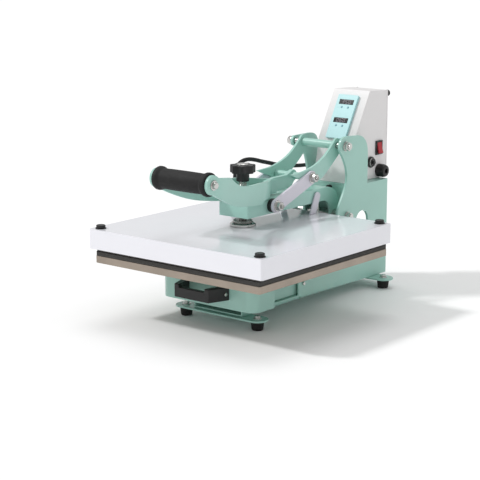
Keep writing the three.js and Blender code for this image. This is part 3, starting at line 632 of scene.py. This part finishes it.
@dataclass
class HeaterCable(SubAssembly):
    """The sleeved heater lead between the casing and the housing."""

    title: str = "heater cable"
    radius: float = 4.0
    route: tuple[tuple[float, float, float], ...] = (
        (-90, 88, 184.5), (-90, 88, 205), (-90, 87.5, 225), (-90, 88, 240), (-89.5, 91, 253),
        (-89, 98, 262), (-88.5, 110, 267), (-88, 126, 268), (-87.8, 146, 264.5), (-87.5, 166, 259),
        (-87, 190, 253), (-87, 215, 246.5), (-87, 240, 241.5), (-87, 265, 238), (-86.5, 288, 235.5),
        (-84, 308, 234.5), (-78, 325, 234), (-69, 333, 234), (-58.5, 334, 234))
    still_end: tuple[float, float, float] = (-87.0, 300.0, 236.0)
    moving_end: tuple[float, float, float] = (-90.0, 88.0, 236.0)
    steps: int = 6
    skins: tuple[Skin, ...] = (
        Skin("cable_gland_casing", NYLON, 0.5),
        Skin("cable_gland_housing", NYLON, 0.5),
    )

    def centreline(self) -> list[Vector]:
        """Runs one smooth curve through the route.

        Returns:
            Points along it, close together.
        """
        points = [place(*p) for p in self.route]
        ends = [2 * points[0] - points[1], *points, 2 * points[-1] - points[-2]]
        line = []
        for i in range(1, len(ends) - 2):
            a, b, c, d = ends[i - 1 : i + 3]
            for k in range(self.steps):
                t = k / self.steps
                line.append(0.5 * (2 * b + (c - a) * t + (2 * a - 5 * b + 4 * c - d) * t * t
                                   + (3 * b - a - 3 * c + d) * t**3))
        return [*line, points[-1]]

    def add_hardware(self) -> None:
        line = self.centreline()
        curve = bpy.data.curves.new("heater_cable_sleeve", "CURVE")
        curve.dimensions = "3D"
        curve.bevel_depth = self.radius * MM
        curve.bevel_resolution = 4
        curve.use_fill_caps = True
        spline = curve.splines.new("POLY")
        spline.points.add(len(line) - 1)
        for point, spot in zip(spline.points, line):
            point.co = (*spot, 1.0)
        sleeve = bpy.data.objects.new("heater_cable_sleeve", curve)
        bpy.context.scene.collection.objects.link(sleeve)
        take(sleeve)
        bpy.ops.object.convert(target="MESH")
        sleeve = bpy.context.object
        bpy.ops.object.mode_set(mode="EDIT")
        bpy.ops.mesh.select_all(action="SELECT")
        bpy.ops.mesh.remove_doubles(threshold=0.00001)
        bpy.ops.mesh.normals_make_consistent(inside=False)
        bpy.ops.object.mode_set(mode="OBJECT")
        bpy.ops.object.shade_smooth_by_angle(angle=math.radians(50))
        sleeve.data.materials.clear()
        sleeve.data.materials.append(SLEEVE.material())
        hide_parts("heater_cable")
        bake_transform(sleeve)
        self.pieces.append(sleeve)


# ---------------------------------------------------------------- base and drawer


@dataclass
class Base(SubAssembly):
    """Feet, floor channel, side plates, rails and axles."""

    title: str = "base"
    foot_x: float = 84.0
    foot_y: tuple[float, float] = (-62.0, 341.0)
    foot_plate_top: float = 20.7
    rail_pin: tuple[float, float, float] = (95.0, 60.0, 64.0)
    skins: tuple[Skin, ...] = (
        Skin("base_channel", MINT_COAT, 0.8),
        Skin("front_foot_bar", MINT_COAT, 0.8),
        Skin("rear_foot_bar", MINT_COAT, 0.8),
        Skin("rubber_foot_front_right", RUBBER, 0.8),
        Skin("rubber_foot_front_left", RUBBER, 0.8),
        Skin("rubber_foot_rear_right", RUBBER, 0.8),
        Skin("rubber_foot_rear_left", RUBBER, 0.8),
        Skin("side_plate_right", MINT_COAT, 0.8),
        Skin("side_plate_left", MINT_COAT, 0.8),
        Skin("back_plate", MINT_COAT, 0.5),
        Skin("control_shelf", MINT_COAT, 0.5),
        Skin("bump_stop", RUBBER, 0.8),
        Skin("slide_rail_right", MINT_COAT, 0.6),
        Skin("slide_rail_left", MINT_COAT, 0.6),
        Skin("lever_axle", ZINC, 0.5),
        Skin("arm_axle", ZINC, 0.5),
    )

    def add_hardware(self) -> None:
        """Adds the foot bolts and the pins that stop the rails."""
        bolt = Bolt(across=11, tall=4, washer=8, washer_thick=1.2)
        for end, y in zip(("front", "rear"), self.foot_y):
            for side, sign, _ in SIDES:
                spot = place(sign * self.foot_x, y, self.foot_plate_top)
                self.pieces.append(bolt.make(f"foot_bolt_{end}_{side}", spot, "+z", "base"))
        pin = Bolt(across=7, tall=2.5, washer=0, sides=24)
        for side, sign, facing in SIDES:
            spot = place(sign * self.rail_pin[0], self.rail_pin[1], self.rail_pin[2])
            self.pieces.append(pin.make(f"rail_stop_{side}", spot, facing, "base"))


@dataclass
class Drawer(SubAssembly):
    """The sliding tray with its handle, lower platen and pad."""

    title: str = "drawer"
    screw: tuple[float, float, float] = (50.6, -112.0, 70.0)
    skins: tuple[Skin, ...] = (
        Skin("drawer_tray", MINT_COAT, 0.8),
        Skin("drawer_handle", NYLON, 1.6, 3),
        Skin("lower_platen", PLATE_ALUMINIUM, 0.8),
        Skin("silicone_pad", SILICONE, 0.6, padded=True),
    )

    def add_hardware(self) -> None:
        """Adds the screws that hold the handle."""
        screw = Bolt(across=7, tall=2.4, washer=0, sides=24, socket=3.5)
        for side, sign, facing in SIDES:
            spot = place(sign * self.screw[0], self.screw[1], self.screw[2])
            self.pieces.append(screw.make(f"handle_screw_{side}", spot, facing, "drawer"))


# ---------------------------------------------------------------- lever, links and arm


@dataclass
class Lever(SubAssembly):
    """Horns, stem, bow and foam grip."""

    title: str = "lever"
    grip: tuple[float, float] = (-161.0, 274.0)
    bow_face: float = 66.4
    sticker: tuple[float, float, float] = (-27.2, 40.0, 246.0)
    sticker_turn: float = -60.0
    skins: tuple[Skin, ...] = (
        Skin("lever_horn_right", MINT_COAT, 0.8),
        Skin("lever_horn_left", MINT_COAT, 0.8),
        Skin("lever_stem", MINT_COAT, 0.8),
        Skin("lever_bow_right", MINT_COAT, 0.9),
        Skin("lever_bow_left", MINT_COAT, 0.9),
        Skin("grip", FOAM, 1.5, 3, 60, padded=True),
    )

    def add_hardware(self) -> None:
        """Adds the bolts through the grip and the blank sticker inside the bow."""
        bolt = Bolt(across=13, tall=5, washer=9, washer_thick=1.6)
        for side, sign, facing in SIDES:
            spot = place(sign * self.bow_face, *self.grip)
            self.pieces.append(bolt.make(f"grip_bolt_{side}", spot, facing, "lever"))
        upright = Matrix.Rotation(math.radians(90), 3, "X")
        turn = Matrix.Rotation(math.radians(self.sticker_turn), 3, "Z") @ upright
        self.pieces.append(slab("bow_sticker", (12.0, 8.0, 0.3), place(*self.sticker), VINYL,
                                "lever", 0.1, turn))


@dataclass
class Links(SubAssembly):
    """The two toggle links, their spacers and their bolts."""

    title: str = "links"
    top: tuple[float, float] = (148.0, 244.0)
    end: tuple[float, float] = (41.0, 206.0)
    face: float = 48.1
    head_top: float = 9.6
    skins: tuple[Skin, ...] = (
        Skin("link_bar_right", LINK_COAT, 0.7),
        Skin("link_bar_left", LINK_COAT, 0.7),
        Skin("link_spacer_right", NYLON, 0.7),
        Skin("link_spacer_left", NYLON, 0.7),
    )

    def add_hardware(self) -> None:
        """Adds a bolt, a washer and a stud end at both ends of each link."""
        bolt = Bolt(across=17, tall=8, washer=10.5, washer_thick=1.8)
        stud = Bolt(across=8, tall=4, washer=0, sides=24, finish=SCREW_STEEL)
        for side, sign, facing in SIDES:
            for name, spot in (("upper", self.top), ("lower", self.end)):
                at = place(sign * self.face, *spot)
                self.pieces.append(bolt.make(f"link_bolt_{name}_{side}", at, facing, "links"))
                tip = place(sign * (self.face + self.head_top), *spot)
                self.pieces.append(stud.make(f"link_stud_{name}_{side}", tip, facing, "links"))


@dataclass
class PlatenArm(SubAssembly):
    """The channel arm with its hub and nut, and the gas strut under it."""

    title: str = "platen arm"
    skins: tuple[Skin, ...] = (
        Skin("platen_arm", MINT_COAT, 1.2),
        Skin("arm_hub_tube", ZINC, 0.4),
        Skin("screw_nut", ZINC, 0.6),
        Skin("strut_cylinder", STRUT_ENAMEL, 0.4),
        Skin("strut_rod", ZINC, 0.4),
    )


@dataclass
class UpperPlaten(SubAssembly):
    """The heated platen under its gloss casing."""

    title: str = "upper platen"
    cap_x: float = 184.0
    cap_y: tuple[float, float] = (-182.0, 174.0)
    top: float = 169.8
    skins: tuple[Skin, ...] = (
        Skin("heat_casing", WHITE_COAT, 1.2, 3),
        Skin("heating_plate", HEATER_COAT, 0.5),
        Skin("insulation_board", FIBRE, 0.5),
        Skin("swivel_plate", ZINC, 0.5),
        Skin("level_stay_right", LINK_COAT, 0.6),
        Skin("level_stay_left", LINK_COAT, 0.6),
    )

    def add_hardware(self) -> None:
        """Adds the domed caps at the casing's corners."""
        cap = Bolt(across=17, tall=4.5, washer=10, washer_thick=1.5, sides=28, finish=NYLON)
        for end, y in zip(("front", "rear"), self.cap_y):
            for side, sign, _ in SIDES:
                spot = place(sign * self.cap_x, y, self.top)
                self.pieces.append(cap.make(f"casing_cap_{end}_{side}", spot, "+z", "upper_platen"))


@dataclass
class PressureScrew(SubAssembly):
    """The lead screw and its star knob."""

    title: str = "pressure screw"
    knob_top: float = 283.0
    skins: tuple[Skin, ...] = (
        Skin("pressure_screw", SCREW_STEEL, 0.4),
        Skin("pressure_knob", NYLON, 1.6, 3, 50),
    )

    def add_hardware(self) -> None:
        """Adds the bright disc let into the knob's top."""
        disc = Bolt(across=22, tall=1.0, washer=0, sides=32)
        self.pieces.append(disc.make("knob_disc", place(0, 0, self.knob_top), "+z", "screw"))


# ---------------------------------------------------------------- control housing


# Which bars of a seven-bar digit are lit: top, upper right, lower right, bottom, lower left,
# upper left, middle.
SEGMENTS = {"0": "1111110", "3": "1111001", "5": "1011011", "6": "1011111", "8": "1111111"}


@dataclass
class ControlHousing(SubAssembly):
    """The slanted box with the controller, the switch and the breaker.

    face_out is how far the displays stand off the sheet. windows holds each display's place up the
    slope, low the step from there to its lower edge, and tall its height.
    """

    title: str = "control housing"
    face_out: float = 5.3
    low: float = -0.5
    tall: float = 9.8
    windows: tuple[float, float] = (72.0, 33.0)
    breaker: tuple[float, float, float] = (47.8, 348.0, 248.0)
    bumper: tuple[float, float, float] = (36.5, 407.3, 379.0)
    skins: tuple[Skin, ...] = (
        Skin("control_housing", HOUSING_COAT, 1.0),
        Skin("control_rear_cover", HOUSING_COAT, 0.6),
        Skin("controller_body", OVERLAY, 0.4),
        Skin("display_upper", WINDOW, 0.2),
        Skin("display_lower", WINDOW, 0.2),
        Skin("button_upper_up", KEY_FILM, 0.4),
        Skin("button_upper_down", KEY_FILM, 0.4),
        Skin("button_lower_up", KEY_FILM, 0.4),
        Skin("button_lower_down", KEY_FILM, 0.4),
        Skin("switch_frame", NYLON, 0.5),
        Skin("switch_rocker", ROCKER_RED, 0.5),
        Skin("breaker_body", NYLON, 0.4),
        Skin("breaker_button", NYLON, 0.6),
        Skin("mains_gland", NYLON, 0.6),
    )

    def on_front(self, x: float, along: float, out: float) -> Vector:
        """Finds a place on the slanted front.

        Args:
            x: Millimetres right of the middle.
            along: Millimetres up the slope from the knee.
            out: Millimetres out from the sheet.

        Returns:
            The place in the row frame.
        """
        y = HOUSING_KNEE[0] + along * math.cos(SLOPE) - out * math.sin(SLOPE)
        z = HOUSING_KNEE[1] + along * math.sin(SLOPE) + out * math.cos(SLOPE)
        return place(x, y, z)

    def digits(self, name: str, text: str, along: float) -> None:
        """Lays the lit bars of one display.

        Args:
            name: The piece's name.
            text: The digits shown.
            along: Height of the display's middle up the slope.
        """
        wide, tall, bar, pitch = 4.0, 7.0, 0.9, 7.5
        trim, lift, thick, edge = 0.5, 0.08, 0.12, 0.03
        spots = [(0, tall / 2, wide, bar), (wide / 2, tall / 4, bar, tall / 2),
                 (wide / 2, -tall / 4, bar, tall / 2), (0, -tall / 2, wide, bar),
                 (-wide / 2, -tall / 4, bar, tall / 2), (-wide / 2, tall / 4, bar, tall / 2),
                 (0, 0, wide, bar)]
        turn = Matrix.Rotation(SLOPE, 3, "X")
        bars = []
        for i, letter in enumerate(text):
            centre = (i - (len(text) - 1) / 2) * pitch
            for lit, (dx, dy, w, h) in zip(SEGMENTS[letter], spots):
                if lit == "1":
                    at = self.on_front(centre + dx, along + dy, self.face_out + lift)
                    size = (max(w - trim, bar), max(h - trim, bar), thick)
                    bars.append(slab("bar", size, at, DIGIT, "base", edge, turn))
        take(*bars)
        bpy.ops.object.join()
        joined = bpy.context.object
        joined.name = name
        joined.data.name = name
        self.pieces.append(joined)

    def add_hardware(self) -> None:
        """Adds the lit digits, the breaker's bright collar and the rear bumpers."""
        self.digits("digits_upper", "350", self.low + self.windows[0] + self.tall / 2)
        self.digits("digits_lower", "060", self.low + self.windows[1] + self.tall / 2)
        collar = Bolt(across=17.5, tall=1.2, washer=0, sides=32)
        self.pieces.append(collar.make("breaker_collar", place(*self.breaker), "+x", "base"))
        bumper = Bolt(across=13, tall=7.5, washer=0, sides=24, finish=RUBBER)
        for side, sign, _ in SIDES:
            spot = place(sign * self.bumper[0], self.bumper[1], self.bumper[2])
            self.pieces.append(bumper.make(f"rear_bumper_{side}", spot, "+y", "base"))


# ---------------------------------------------------------------- run


def main() -> None:
    """Builds the press and the studio in order."""
    logging.basicConfig(level=logging.INFO, format="%(message)s")
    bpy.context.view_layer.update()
    Studio().build()
    for part in (HeaterCable(), Base(), Drawer(), Lever(), Links(), PlatenArm(), UpperPlaten(),
                 PressureScrew(), ControlHousing()):
        part.build()


if __name__ == "__main__":
    main()
